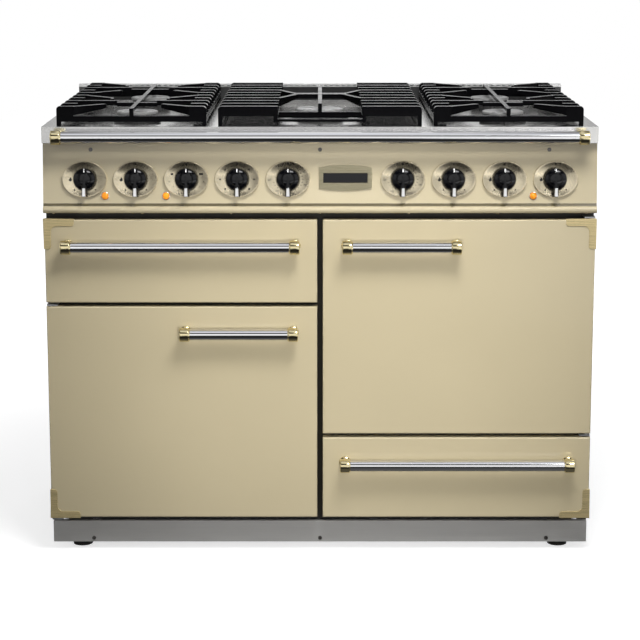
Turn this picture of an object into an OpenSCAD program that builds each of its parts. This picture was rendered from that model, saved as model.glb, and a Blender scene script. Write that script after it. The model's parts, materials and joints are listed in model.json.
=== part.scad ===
// Double-column range cooker with a five-burner gas hob, a grill, two ovens and a drawer.
// Millimetres, standing on z = 0, front towards -Y, centred on x = 0 and y = 0.

/* [Overall size] */
// Width over the corner trims of the doors
total_w = 1092; // [1080:1:1104]
// Depth from the front of the handles to the back of the vent trim
total_d = 648; // [640:1:664]
// Height from the bottom of the base strip to the hob surface
body_h = 857; // [852:1:868]
// Height of the base strip above the floor with the feet wound right in
foot_h = 15; // [14:1:18]

/* [Doors] */
// Thickness of the doors with their inner liners
door_t = 33; // [32:1:35]
// Upright gap between the two columns of doors
column_gap = 11; // [9:1:13]
// Level gap between two doors of one column
row_gap = 8; // [7.5:0.5:10]
// Height of the grill door and of the drawer front
low_h = 167; // [164:1:170]
// Radius along the front edges of the doors
edge_r = 3; // [2:0.5:4]
// Length of one arm of a corner trim
trim_arm = 59; // [50:1:66]
// Width of a corner trim
trim_w = 14.5; // [12:0.5:18]

/* [Handles] */
// Distance from the door face to the front of a handle bracket
handle_out = 40; // [38:1:44]
// Diameter of the handle bars
bar_d = 22.5; // [20:0.5:23.5]
// Diameter of the brackets at the bar ends
cap_d = 28; // [26.5:0.5:28]
// Length of a bracket along its bar
cap_l = 21; // [19:0.5:24]
// Length of the wide handles over their brackets
long_handle = 470; // [440:5:490]
// Length of the oven door handles over their brackets
short_handle = 235; // [200:5:260]
// How far each end of the towel rail stays inside the overall width
rail_inset = 22; // [18:1:36]

/* [Oven spaces] */
// Width inside both ovens
oven_w = 420; // [412:1:424]
// Height inside both ovens
oven_h = 382; // [374:1:384]
// Depth inside both ovens
oven_d = 443; // [430:1:448]
// Width inside the grill chamber
grill_w = 450; // [444:1:454]
// Height inside the grill chamber
grill_h = 123; // [120:1:125]
// Depth of the grill chamber
grill_d = 403; // [380:1:420]
// How far the drawer box reaches back
drawer_d = 480; // [440:5:490]

/* [Hob] */
// Height of the steel edge round the hob
tray_h = 32.5; // [30:0.5:36]
// Height of the pan supports above the hob
support_h = 38; // [36:1:42]
// Thickness of the pan support bars
bar_t = 8; // [7:0.5:9]
// Diameter of the four side burner caps
side_cap_d = 84; // [76:1:88]
// Diameter of the centre burner cap
wok_cap_d = 100; // [92:1:104]
// Height of the rear vent trim above the hob
vent_h = 33; // [28:1:36]

/* [Control panel] */
// Backward lean of the control panel in degrees
lean = 6; // [4:1:8]
// Distance from knob to knob
knob_pitch = 100; // [96:1:101]
// Diameter of a knob
knob_d = 44; // [40:1:46]
// Width of the oval plate behind a knob
bezel_w = 88; // [80:1:90]
// Height of the oval plate behind a knob
bezel_h = 71; // [64:1:74]

/* [Clearances] */
// Radial play of a shaft or a pin in its bore
run_fit = 0.08; // [0.05:0.01:0.1]
// Space left between a sliding piece and its guide
slide_gap = 0.5; // [0.4:0.1:0.8]
// Space between the door liners and the rope seals
seal_gap = 0.5; // [0.4:0.1:0.8]

/* [Hidden] */
$fn = 48;

// Main planes
hob_z = foot_h + body_h;
back_y = total_d / 2;
face_y = handle_out - back_y;
door_back = face_y + door_t;
frame_y = door_back + 5;
trim_wrap = 1.5;
door_side = total_w / 2 - trim_wrap;
body_side = door_side + 1;
sheet = 2;
wall_in = body_side - sheet;
frame_t = 3;
space_y = frame_y + frame_t;

// Door rows and columns
inner_edge = column_gap / 2;
row_low = foot_h + 62;
row_top = hob_z - 184;
drawer_top = row_low + low_h;
right_low = drawer_top + row_gap;
grill_low = row_top - low_h;
left_top = grill_low - row_gap;
column_x = (inner_edge + door_side) / 2;
shell_t = 22;
skin_t = 2;
shell_wall = 2.5;
liner_in = 8;
liner_t = 2;
flange_w = liner_in + liner_t + 5;
bush_w = 22;
bush_h = 18;
loose = 0.05;

// Hinges
hinge_in = 9;
hinge_y = face_y + hinge_in;
hinge_x = door_side - hinge_in;
pin_r = 4;
pin_reach = 12;
plate_t = 3;
grill_pin_r = 3;
grill_hinge_z = grill_low + hinge_in;
ear_x = [-door_side + 10, -inner_edge - 14];
ear_t = 4;
notch_side = 3.5;
notch_h = 19;

// Handles
cap_r = cap_d / 2;
bar_r = bar_d / 2;
bar_y = face_y - handle_out + cap_r;
socket = 13;
handle_drop = 51.5;
handle_inset = 38;
post_r = 9;
rail_z = hob_z - 18.5;

// Oven and grill spaces
left_oven_z = (row_low + left_top) / 2 + 1;
right_oven_z = (right_low + row_top) / 2 + 1;
oven_back = space_y + oven_d;
grill_z = grill_low + 85.5;
grill_back = space_y + grill_d;
mouth = 5;
seal_w = 6;
fan_y = oven_back - 19;
fan_r = 60;
ledge_t = 2;
ledge_reach = 13;
shelf_level = -30;
shelf_r = 3;
shelf_front = space_y + 8;
shelf_back = oven_back - 46;
rail_ledge_z = grill_z - 14;

// Drawer
box_low = row_low + 16;
box_h = 100;
box_in = 22;
runner_z = box_low + 40;

// Hob
tray_low = hob_z - tray_h;
tray_back = back_y - 18;
well_depth = 8;
wok_depth = 14;
burner_x = 371;
burner_d = [147, 451];
wok_d = 298.5;
side_half = 147.5;
centre_half = 200.5;
support_d = [25, 572];
well_y = [face_y + support_d[0] + 15, face_y + support_d[1] - 15];
rest_gap = 0.3;
bar_rows = [for (i = [0:9]) support_d[0] + bar_t / 2 + i * (support_d[1] - support_d[0] - bar_t) / 9];

// Control panel
panel_low = hob_z - 171;
panel_foot_z = panel_low + 19;
panel_foot_y = face_y + 3;
panel_t = 2.5;
lip_r = 5.5;
lip_y = face_y - 4 + lip_r;
knob_z = hob_z - 104.5;
rail_l = total_w - 2 * rail_inset;
knob_x = [for (i = [-4.63, -3.63, -2.63, -1.63, -0.63, 1.63, 2.63, 3.63, 4.63]) i * knob_pitch];
gas_knobs = [0, 1, 6, 7, 8];
lamp_x = [-4.23 * knob_pitch, -3.03 * knob_pitch, 4.2 * knob_pitch];
lamp_z = hob_z - 137;
shaft_r = 4;
shaft_hole = 5;
bezel_t = 3;
knob_base = 3.6;

// Gas nipples of a tap, measured from the knob centre on the panel
tap_out_y = 33;
tap_out_z = 24;
tap_in_y = 52;
rail_below = 10;

// Fixed frame below
floor_z = foot_h + 47;
foot_x = wall_in - 53;
foot_y = [frame_y + 31, back_y - 54];
stem_r = 5;

function panel_y(z) = panel_foot_y + (z - panel_foot_z) * tan(lean);

module block(x0, x1, y0, y1, z0, z1) {
    translate([x0, y0, z0])
        cube([x1 - x0, y1 - y0, z1 - z0]);
}

module rod_x(x0, x1, y, z, r) {
    translate([x0, y, z])
        rotate([0, 90, 0])
            cylinder(h = x1 - x0, r = r);
}

module rod_y(x, y0, y1, z, r) {
    translate([x, y0, z])
        rotate([-90, 0, 0])
            cylinder(h = y1 - y0, r = r);
}

module rod_z(x, y, z0, z1, r) {
    translate([x, y, z0])
        cylinder(h = z1 - z0, r = r);
}

// Extrudes a profile drawn as [y, z] along x
module along_x(x0, x1) {
    translate([x0, 0, 0])
        rotate([90, 0, 90])
            linear_extrude(height = x1 - x0)
                children();
}

module both_sides() {
    children();
    mirror([1, 0, 0])
        children();
}

// Open box: outer walls of thickness t round an inner space, open at the front
module lined_space(xc, w, y0, y1, zc, h, t) {
    difference() {
        block(xc - w / 2 - t, xc + w / 2 + t, y0, y1 + t, zc - h / 2 - t, zc + h / 2 + t);
        block(xc - w / 2, xc + w / 2, y0 - 1, y1, zc - h / 2, zc + h / 2);
    }
}

module ring_frame(xc, zc, w, h, band, y0, y1) {
    difference() {
        block(xc - w / 2 - band, xc + w / 2 + band, y0, y1, zc - h / 2 - band, zc + h / 2 + band);
        block(xc - w / 2, xc + w / 2, y0 - 1, y1 + 1, zc - h / 2, zc + h / 2);
    }
}

// Round tube through a list of points, with a slightly thicker ball at each bend
bend_extra = 0.6;

module tube(points, r) {
    for (i = [0:len(points) - 2]) {
        v = points[i + 1] - points[i];
        translate(points[i])
            rotate([0, acos(v[2] / norm(v)), atan2(v[1], v[0])])
                cylinder(h = norm(v), r = r);
    }
    for (i = [1:len(points) - 2])
        translate(points[i])
            sphere(r = r + bend_extra);
}

// Doors

module shell_plan(w, t) {
    translate([edge_r, 0])
        square([w - 2 * edge_r, t]);
    translate([0, edge_r])
        square([w, t - edge_r]);
    for (x = [edge_r, w - edge_r])
        translate([x, edge_r])
            circle(r = edge_r);
}

module shell_side(h, t) {
    translate([0, edge_r])
        square([t, h - 2 * edge_r]);
    translate([edge_r, 0])
        square([t - edge_r, h]);
    for (z = [edge_r, h - edge_r])
        translate([edge_r, z])
            circle(r = edge_r);
}

// Pressed outer shell of a door with a flange turned in at its back, which the liner sits on;
// its children are the solid blocks kept inside it
module door_shell(x0, x1, z0, z1) {
    difference() {
        intersection() {
            translate([x0, face_y, z0])
                linear_extrude(height = z1 - z0)
                    shell_plan(x1 - x0, shell_t);
            translate([0, face_y, z0])
                along_x(x0, x1)
                    shell_side(z1 - z0, shell_t);
        }
        difference() {
            union() {
                block(x0 + shell_wall, x1 - shell_wall, face_y + skin_t, face_y + shell_t - skin_t,
                      z0 + shell_wall, z1 - shell_wall);
                block(x0 + flange_w, x1 - flange_w, face_y + skin_t, face_y + shell_t + 1,
                      z0 + flange_w, z1 - flange_w);
            }
            children();
        }
    }
}

module door_liner(x0, x1, z0, z1) {
    front = face_y + shell_t + loose;
    rim = liner_in + liner_t;
    difference() {
        block(x0 + liner_in, x1 - liner_in, front, door_back, z0 + liner_in, z1 - liner_in);
        block(x0 + rim, x1 - rim, front - 1, door_back - liner_t, z0 + rim, z1 - rim);
    }
}

// Solid block round a hinge pin
module bush(x, z0, z1) {
    block(x - bush_w / 2, x + bush_w / 2, face_y - 1, face_y + shell_t, z0, z1);
}

module oven_door(x0, x1, z0, z1, pin_x) {
    difference() {
        union() {
            door_shell(x0, x1, z0, z1) {
                bush(pin_x, z0 - 1, z0 + bush_h);
                bush(pin_x, z1 - bush_h, z1 + 1);
            }
            door_liner(x0, x1, z0, z1);
        }
        rod_z(pin_x, hinge_y, z0 - 1, z0 + pin_reach + 1, pin_r + run_fit);
        rod_z(pin_x, hinge_y, z1 - pin_reach - 1, z1 + 1, pin_r + run_fit);
    }
}

module grill_door() {
    color("#d8cba8")
        difference() {
            union() {
                door_shell(-door_side, -inner_edge, grill_low, row_top)
                    for (x = ear_x)
                        bush(x + ear_t / 2, grill_low - 1, grill_low + notch_h + 3);
                door_liner(-door_side, -inner_edge, grill_low, row_top);
            }
            for (x = ear_x) {
                block(x - notch_side, x + ear_t + notch_side, face_y + 2, door_back + 1,
                      grill_low - 1, grill_low + notch_h);
                rod_x(x - 6.5, x + ear_t + 5.5, hinge_y, grill_hinge_z, grill_pin_r + run_fit);
            }
        }
}

module left_oven_door() {
    color("#d8cba8")
        oven_door(-door_side, -inner_edge, row_low, left_top, -hinge_x);
}

module right_oven_door() {
    color("#d8cba8")
        oven_door(inner_edge, door_side, right_low, row_top, hinge_x);
}

module drawer_front() {
    color("#d8cba8") {
        door_shell(inner_edge, door_side, row_low, drawer_top);
        door_liner(inner_edge, door_side, row_low, drawer_top);
    }
}

// Handles and brasses

module end_bracket(x0, x1, y_seat, z, socket_left) {
    mid = (x0 + x1) / 2;
    difference() {
        union() {
            rod_x(x0, x1, bar_y, z, cap_r);
            rod_y(mid, bar_y, y_seat, z, post_r);
            rod_y(mid, y_seat - 3, y_seat, z, post_r + 3);
        }
        if (socket_left)
            rod_x(x0 - 1, x0 + socket, bar_y, z, bar_r + run_fit);
        else
            rod_x(x1 - socket, x1 + 1, bar_y, z, bar_r + run_fit);
    }
}

module bracket_pair(x0, x1, y_seat, z) {
    end_bracket(x0, x0 + cap_l, y_seat, z, false);
    end_bracket(x1 - cap_l, x1, y_seat, z, true);
}

module handle_bar(x0, x1, z) {
    rod_x(x0 + cap_l - socket, x1 - cap_l + socket, bar_y, z, bar_r);
}

// Trim for a lower left corner, drawn with that corner at the origin
module corner_trim() {
    inner = trim_w - trim_wrap;
    fillet = 11;
    difference() {
        union() {
            block(-trim_wrap, trim_arm, -trim_wrap, 0, -trim_wrap, inner);
            block(-trim_wrap, inner, -trim_wrap, 0, inner, trim_arm);
            block(inner, inner + fillet, -trim_wrap, 0, inner, inner + fillet);
            block(-trim_wrap, 0, 0, 5, -trim_wrap, trim_arm);
            block(0, trim_arm, 0, 5, -trim_wrap, 0);
        }
        rod_y(inner + fillet, -trim_wrap - 1, 1, inner + fillet, fillet);
    }
}

module trim_at(x, z, flip_x, flip_z) {
    translate([x, face_y, z])
        mirror([flip_x, 0, 0])
            mirror([0, 0, flip_z])
                corner_trim();
}

grill_bar_x = [-column_x - long_handle / 2, -column_x + long_handle / 2];
drawer_bar_x = [column_x - long_handle / 2, column_x + long_handle / 2];
left_bar_x = [-inner_edge - handle_inset - short_handle, -inner_edge - handle_inset];
right_bar_x = [inner_edge + handle_inset, inner_edge + handle_inset + short_handle];

module grill_door_handle() {
    color("#bcbcb8")
        handle_bar(grill_bar_x[0], grill_bar_x[1], row_top - handle_drop);
}

module grill_door_brasses() {
    color("#c9a659") {
        bracket_pair(grill_bar_x[0], grill_bar_x[1], face_y, row_top - handle_drop);
        trim_at(-door_side, row_top, 0, 1);
    }
}

module left_oven_door_handle() {
    color("#bcbcb8")
        handle_bar(left_bar_x[0], left_bar_x[1], left_top - handle_drop);
}

module left_oven_door_brasses() {
    color("#c9a659") {
        bracket_pair(left_bar_x[0], left_bar_x[1], face_y, left_top - handle_drop);
        trim_at(-door_side, row_low, 0, 0);
    }
}

module right_oven_door_handle() {
    color("#bcbcb8")
        handle_bar(right_bar_x[0], right_bar_x[1], row_top - handle_drop);
}

module right_oven_door_brasses() {
    color("#c9a659") {
        bracket_pair(right_bar_x[0], right_bar_x[1], face_y, row_top - handle_drop);
        trim_at(door_side, row_top, 1, 1);
    }
}

module drawer_handle() {
    color("#bcbcb8")
        handle_bar(drawer_bar_x[0], drawer_bar_x[1], drawer_top - handle_drop);
}

module drawer_brasses() {
    color("#c9a659") {
        bracket_pair(drawer_bar_x[0], drawer_bar_x[1], face_y, drawer_top - handle_drop);
        trim_at(door_side, row_low, 1, 0);
    }
}

module hand_rail() {
    color("#bcbcb8")
        handle_bar(-rail_l / 2, rail_l / 2, rail_z);
}

module hand_rail_brackets() {
    color("#c9a659")
        bracket_pair(-rail_l / 2, rail_l / 2, face_y, rail_z);
}

// Fixed body

module base_frame() {
    color("#3a3a3a")
        difference() {
            union() {
                block(-wall_in, wall_in, frame_y + 2, back_y - 24, floor_z, floor_z + sheet);
                both_sides()
                    block(foot_x - 25, foot_x + 25, frame_y + 2, back_y - 24, foot_h + 5, floor_z);
            }
            both_sides()
                for (y = foot_y)
                    rod_z(foot_x, y, foot_h, floor_z + sheet + 1, stem_r + run_fit);
            both_sides()
                block(foot_x - 22, foot_x + 22, foot_y[0] + 20, foot_y[1] - 20, foot_h, floor_z - 3);
        }
}

module levelling_feet() {
    color("#2a2a2a")
        both_sides()
            for (y = foot_y) {
                rod_z(foot_x, y, 0, 6, 20);
                rod_z(foot_x, y, 5, floor_z + 18, stem_r);
            }
}

module base_strip() {
    color("#c6c6c4")
        difference() {
            block(-body_side, body_side, frame_y - 8, frame_y + 2, foot_h, foot_h + 45);
            block(-body_side + sheet, body_side - sheet, frame_y - 6, frame_y + 3,
                  foot_h - 1, foot_h + 43);
            both_sides()
                block(wall_in - 1, body_side + 1, frame_y, frame_y + 3, foot_h - 1, foot_h + 46);
        }
}

module side_panels() {
    color("#1d1c1b")
        both_sides()
            block(wall_in, body_side, frame_y, back_y - 18, foot_h + 5, tray_low);
}

inlet_x = wall_in - 60;
inlet_z = hob_z - 90;
inlet_bore = 9.3;
gland_x = -wall_in + 70;
gland_bore = 12.5;

module rear_panel() {
    louvre_x = total_w / 2 - 126;
    color("#8c8c8a")
        difference() {
            block(-wall_in, wall_in, back_y - 24, back_y - 22, floor_z, hob_z - sheet);
            rod_y(inlet_x, back_y - 25, back_y - 21, inlet_z, 17);
            rod_y(gland_x, back_y - 25, back_y - 21, inlet_z, gland_bore);
            for (x = [-louvre_x:louvre_x / 7:louvre_x])
                for (z = [floor_z + 60, hob_z - 160])
                    block(x - 20, x + 20, back_y - 25, back_y - 21, z, z + 6);
        }
}

module front_frame() {
    color("#1d1c1b")
        difference() {
            block(-wall_in, wall_in, frame_y, space_y, floor_z + sheet, panel_low);
            block(-column_x - oven_w / 2 - mouth, -column_x + oven_w / 2 + mouth, frame_y - 1,
                  space_y + 1, left_oven_z - oven_h / 2 - mouth, left_oven_z + oven_h / 2 + mouth);
            block(column_x - oven_w / 2 - mouth, column_x + oven_w / 2 + mouth, frame_y - 1,
                  space_y + 1, right_oven_z - oven_h / 2 - mouth, right_oven_z + oven_h / 2 + mouth);
            block(-column_x - grill_w / 2 - mouth, -column_x + grill_w / 2 + mouth, frame_y - 1,
                  space_y + 1, grill_z - grill_h / 2 - mouth, grill_z + grill_h / 2 + mouth);
            block(inner_edge + 9.5, door_side - 9.5, frame_y - 1, space_y + 1,
                  row_low + 5, drawer_top - 6);
        }
}

module oven_cavity(xc, zc) {
    union() {
        difference() {
            lined_space(xc, oven_w, space_y, oven_back, zc, oven_h, sheet);
            rod_y(xc, oven_back - 1, oven_back + sheet + 1, zc, shaft_hole);
        }
        ring_frame(xc, zc, oven_w + 2 * sheet, oven_h + 2 * sheet, 12, space_y, space_y + sheet);
    }
}

module left_oven_cavity() {
    color("#4c4a48")
        oven_cavity(-column_x, left_oven_z);
}

module right_oven_cavity() {
    color("#4c4a48")
        oven_cavity(column_x, right_oven_z);
}

module grill_chamber() {
    color("#4c4a48") {
        lined_space(-column_x, grill_w, space_y, grill_back, grill_z, grill_h, sheet);
        ring_frame(-column_x, grill_z, grill_w + 2 * sheet, grill_h + 2 * sheet, 8,
                   space_y, space_y + sheet);
    }
}

module door_seals() {
    color("#2f2d2b") {
        ring_frame(-column_x, left_oven_z, oven_w + 2 * mouth, oven_h + 2 * mouth, seal_w,
                   door_back + seal_gap, frame_y);
        ring_frame(column_x, right_oven_z, oven_w + 2 * mouth, oven_h + 2 * mouth, seal_w,
                   door_back + seal_gap, frame_y);
        ring_frame(-column_x, grill_z, grill_w + 2 * mouth, grill_h + 2 * mouth, seal_w,
                   door_back + seal_gap, frame_y);
    }
}

module hinge_plate(x, z_low, pin_from, pin_to) {
    block(x - hinge_in + 1, x + 13, hinge_y - 6, frame_y, z_low, z_low + plate_t);
    rod_z(x, hinge_y, pin_from, pin_to, pin_r);
}

module door_hinges() {
    color("#a9a9a6") {
        hinge_plate(-hinge_x, left_top + 1, left_top - pin_reach, left_top + 1);
        hinge_plate(-hinge_x, row_low - 6, row_low - 3, row_low + pin_reach);
        mirror([1, 0, 0]) {
            hinge_plate(-hinge_x, row_top + 2.5, row_top - pin_reach, row_top + 2.5);
            hinge_plate(-hinge_x, right_low - 5.5, right_low - 2.5, right_low + pin_reach);
        }
        for (x = ear_x) {
            block(x, x + ear_t, hinge_y - 4, frame_y, grill_hinge_z - 5, grill_hinge_z + 5);
            rod_x(x - 6, x + ear_t + 5, hinge_y, grill_hinge_z, grill_pin_r);
        }
    }
}

// Upper grill element as two loops, one ring round each fan
module grill_loop(xc, w) {
    y0 = space_y + 60;
    z = grill_z + grill_h / 2 - 16;
    r = 4;
    tube([[xc - w / 2, grill_back, z], [xc - w / 2, y0, z], [xc + w / 2, y0, z],
          [xc + w / 2, grill_back, z]], r);
}

module ring_element(xc, zc) {
    r = 4;
    y = oven_back - 14;
    translate([xc, y, zc])
        rotate([90, 0, 0])
            rotate_extrude()
                translate([fan_r + 18, 0])
                    circle(r = r);
    for (x = [-16, 16])
        rod_y(xc + x, y, oven_back, zc + sqrt(pow(fan_r + 18, 2) - pow(16, 2)), r - 0.8);
}

module heating_elements() {
    color("#5b4a42") {
        grill_loop(-column_x - 105, 150);
        grill_loop(-column_x + 105, 150);
        ring_element(-column_x, left_oven_z);
        ring_element(column_x, right_oven_z);
    }
}

module fan_unit(xc, zc) {
    // Motor behind the rear wall
    difference() {
        union() {
            rod_y(xc, oven_back + sheet, oven_back + sheet + 50, zc, 32);
            block(xc - 45, xc + 45, oven_back + sheet, oven_back + sheet + 3, zc - 12, zc + 12);
        }
        rod_y(xc, oven_back, oven_back + sheet + 40, zc, shaft_r + run_fit);
    }
    // Cover in front of the fan
    difference() {
        block(xc - 120, xc + 120, oven_back - 38, oven_back, zc - 120, zc + 120);
        block(xc - 118, xc + 118, oven_back - 36, oven_back + 1, zc - 118, zc + 118);
        rod_y(xc, oven_back - 39, oven_back - 35, zc, 12);
        for (ring = [28, 44])
            for (a = [0:45:315])
                rod_y(xc + ring * cos(a), oven_back - 39, oven_back - 35, zc + ring * sin(a), 5);
        for (x = [-80:40:80])
            for (z = [-121, 110])
                block(xc + x - 12, xc + x + 12, oven_back - 30, oven_back - 12, zc + z, zc + z + 11);
    }
}

module fan_units() {
    color("#77736e") {
        fan_unit(-column_x, left_oven_z);
        fan_unit(column_x, right_oven_z);
    }
}

module fan_wheel(xc, zc) {
    difference() {
        union() {
            rod_y(xc, fan_y + 8, fan_y + 10, zc, fan_r - 8);
            rod_y(xc, fan_y - 6, oven_back + sheet + 38, zc, shaft_r);
            rod_y(xc, fan_y - 8, fan_y + 10, zc, 9);
            for (a = [0:45:315])
                translate([xc, 0, zc])
                    rotate([0, a, 0])
                        block(12, fan_r - 6, fan_y - 8, fan_y + 9, -1, 1);
        }
    }
}

module left_fan() {
    color("#8a8a88")
        fan_wheel(-column_x, left_oven_z);
}

module right_fan() {
    color("#8a8a88")
        fan_wheel(column_x, right_oven_z);
}

// Pressed side plates that carry a shelf, and the two ledges of the grill carriage
module shelf_sides(xc, zc) {
    for (s = [-1, 1])
        translate([xc, 0, zc])
            mirror([s > 0 ? 1 : 0, 0, 0]) {
                block(-oven_w / 2, -oven_w / 2 + 1.5, space_y + 15, shelf_back + 5,
                      -oven_h / 2 + 30, oven_h / 2 - 30);
                for (level = [-2:2])
                    block(-oven_w / 2 + 1, -oven_w / 2 + ledge_reach, space_y + 15, shelf_back + 5,
                          shelf_level + level * 62 - ledge_t, shelf_level + level * 62);
            }
}

module shelf_supports() {
    color("#9a9a97") {
        shelf_sides(-column_x, left_oven_z);
        shelf_sides(column_x, right_oven_z);
        for (s = [-1, 1])
            translate([-column_x, 0, 0])
                mirror([s > 0 ? 1 : 0, 0, 0])
                    block(-grill_w / 2, -grill_w / 2 + ledge_reach, space_y + 10, grill_back - 20,
                          rail_ledge_z - ledge_t, rail_ledge_z);
    }
}

module wire_shelf(xc, zc) {
    w = oven_w - 18;
    z = zc + shelf_level + shelf_r + slide_gap;
    for (s = [-1, 1])
        rod_y(xc + s * w / 2, shelf_front, shelf_back, z, shelf_r);
    for (y = [shelf_front + 8, (shelf_front + shelf_back) / 2, shelf_back - 8])
        rod_x(xc - w / 2, xc + w / 2, y, z, shelf_r - 0.5);
    for (i = [1:13])
        rod_y(xc - w / 2 + i * w / 14, shelf_front + 4, shelf_back - 4, z + shelf_r - 0.7, 1.5);
}

module left_oven_shelf() {
    color("#c4c4c2")
        wire_shelf(-column_x, left_oven_z);
}

module right_oven_shelf() {
    color("#c4c4c2")
        wire_shelf(column_x, right_oven_z);
}

module grill_carriage() {
    w = grill_w - 14;
    z = rail_ledge_z + slide_gap;
    color("#9a9a97")
        difference() {
            block(-column_x - w / 2, -column_x + w / 2, space_y + 4, grill_back - 20, z, z + 14);
            block(-column_x - w / 2 + 2, -column_x + w / 2 - 2, space_y + 6, grill_back - 22,
                  z + 2, z + 15);
            block(-column_x - w / 2 + 22, -column_x + w / 2 - 22, space_y + 26, grill_back - 42,
                  z - 1, z + 3);
        }
}

module grill_pan() {
    w = grill_w - 34;
    z = rail_ledge_z + slide_gap + 2;
    color("#55524f")
        difference() {
            block(-column_x - w / 2, -column_x + w / 2, space_y + 16, grill_back - 32, z, z + 28);
            block(-column_x - w / 2 + 2, -column_x + w / 2 - 2, space_y + 18, grill_back - 34,
                  z + 2, z + 29);
        }
}

// Drawer
module drawer_box() {
    x0 = inner_edge + box_in;
    x1 = door_side - box_in;
    y1 = door_back + drawer_d;
    color("#b4b4b1")
        union() {
            difference() {
                block(x0, x1, door_back, y1, box_low, box_low + box_h);
                block(x0 + sheet, x1 - sheet, door_back + sheet, y1 - sheet,
                      box_low + sheet, box_low + box_h + 1);
            }
            block(x0 - 9, x0 + 1, space_y + 6, y1, runner_z + slide_gap, runner_z + slide_gap + 3);
            block(x1 - 1, x1 + 9, space_y + 6, y1, runner_z + slide_gap, runner_z + slide_gap + 3);
        }
}

module drawer_runners() {
    y1 = door_back + drawer_d + 8;
    color("#a9a9a6")
        for (x = [inner_edge + box_in - 10 - slide_gap, door_side - box_in + 10 + slide_gap])
            translate([x, 0, 0])
                mirror([x > column_x ? 1 : 0, 0, 0]) {
                    block(-3, 0, space_y, y1, runner_z - 10, runner_z + 14);
                    block(-1, 9, space_y, y1, runner_z - 2, runner_z);
                    block(-1, 6, space_y, y1, runner_z + 8, runner_z + 10);
                    block(-9, 0, space_y, space_y + 2, runner_z - 14, runner_z + 18);
                }
}

// Control panel
module panel_frame(x, z) {
    translate([x, panel_y(z), z])
        rotate([90 - lean, 0, 0])
            children();
}

module control_panel() {
    top = [panel_y(tray_low), tray_low];
    // Rolled lip along the bottom
    lip = [for (a = [0:15:180]) [lip_y - lip_r * sin(a), panel_low + lip_r - lip_r * cos(a)]];
    color("#d8cba8")
        difference() {
            along_x(-body_side, body_side)
                polygon(concat([[frame_y, panel_low]], lip,
                               [[panel_foot_y, panel_foot_z], top, [frame_y, tray_low]]));
            along_x(-body_side + panel_t, body_side - panel_t)
                polygon([[frame_y + 1, panel_low + panel_t], [panel_foot_y + 2, panel_low + panel_t],
                         [panel_foot_y + panel_t, panel_foot_z], [top[0] + panel_t, tray_low + 1],
                         [frame_y + 1, tray_low + 1]]);
            for (x = knob_x)
                panel_frame(x, knob_z)
                    translate([0, 0, -10])
                        cylinder(h = 20, r = shaft_hole);
            for (x = lamp_x)
                panel_frame(x, lamp_z)
                    translate([0, 0, -10])
                        cylinder(h = 20, r = 5);
        }
}

// Oval drawn as a polygon so that its edge stays true
module oval(w, h) {
    polygon([for (a = [0:7.5:352.5]) [w / 2 * cos(a), h / 2 * sin(a)]]);
}

module knob_bezels() {
    color("#c8b48a")
        for (x = knob_x)
            panel_frame(x, knob_z)
                difference() {
                    linear_extrude(height = bezel_t)
                        oval(bezel_w, bezel_h);
                    translate([0, 0, 1.5])
                        linear_extrude(height = bezel_t)
                            oval(bezel_w - 6, bezel_h - 6);
                    translate([0, 0, -1])
                        cylinder(h = bezel_t + 2, r = shaft_hole);
                }
}

module badge_plate() {
    w = 104;
    rise = 5;
    half_h = 25.3;
    big_r = (pow(w / 2, 2) + pow(rise, 2)) / (2 * rise);
    color("#cfcdc8")
        panel_frame(0.5 * knob_pitch, hob_z - 102)
            difference() {
                linear_extrude(height = 3)
                    intersection() {
                        square([w, 3 * half_h], center = true);
                        translate([0, half_h - big_r])
                            circle(r = big_r, $fn = 240);
                        translate([0, big_r - half_h])
                            circle(r = big_r, $fn = 240);
                    }
                translate([-44, -10, 2])
                    cube([88, 20, 2]);
            }
}

module neon_lamps() {
    color("#d9772a")
        for (x = lamp_x)
            panel_frame(x, lamp_z) {
                translate([0, 0, -12])
                    cylinder(h = 15, r = 4.8);
                cylinder(h = 1.5, r = 7);
            }
}

module knob(x) {
    k = knob_base;
    r = knob_d / 2;
    color("#161514")
        panel_frame(x, knob_z) {
            rotate_extrude()
                polygon([[0, k], [r - 1, k], [r, k + 1], [r, k + 7], [r - 1, k + 9], [r - 4, k + 11.5],
                         [r - 8, k + 13], [r - 12, k + 13.6], [0, k + 14]]);
            translate([0, 0, -30])
                cylinder(h = 34, r = shaft_r);
            along_x(-5.75, 5.75)
                polygon([[9, k + 12], [8, 27], [3, 30], [-26, 30], [-31, 28], [-32, 24], [-24, k + 6],
                         [-10, k + 2]]);
        }
}

module tap_and_switch_bodies() {
    color("#b58f4c")
        for (i = [0:8])
            panel_frame(knob_x[i], knob_z)
                difference() {
                    union() {
                        translate([0, 0, -10])
                            cylinder(h = 10 - panel_t, r = 12);
                        if (len(search(i, gas_knobs)) > 0) {
                            translate([-14, -13, -46])
                                cube([28, 26, 38]);
                            rotate([lean - 90, 0, 0]) {
                                rod_z(0, tap_out_y, 5, tap_out_z, 5);
                                rod_y(0, 38, tap_in_y, -rail_below, 5.5);
                            }
                        }
                        else
                            translate([-22, -20, -44])
                                cube([44, 40, 36]);
                    }
                    translate([0, 0, -30.5])
                        cylinder(h = 40, r = shaft_r + run_fit);
                }
}

// Gas rail behind the taps, burner feeds and the inlet at the back
module burner_feed(i, x_run, x, y, level, floor_h) {
    y0 = panel_y(knob_z) + tap_out_y;
    tube([[knob_x[i], y0, knob_z + tap_out_z], [knob_x[i], y0, level], [x_run, y0, level],
          [x_run, y, level], [x, y, level]], 3);
    rod_z(x, y, level - 8, floor_h, 12);
}

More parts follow.
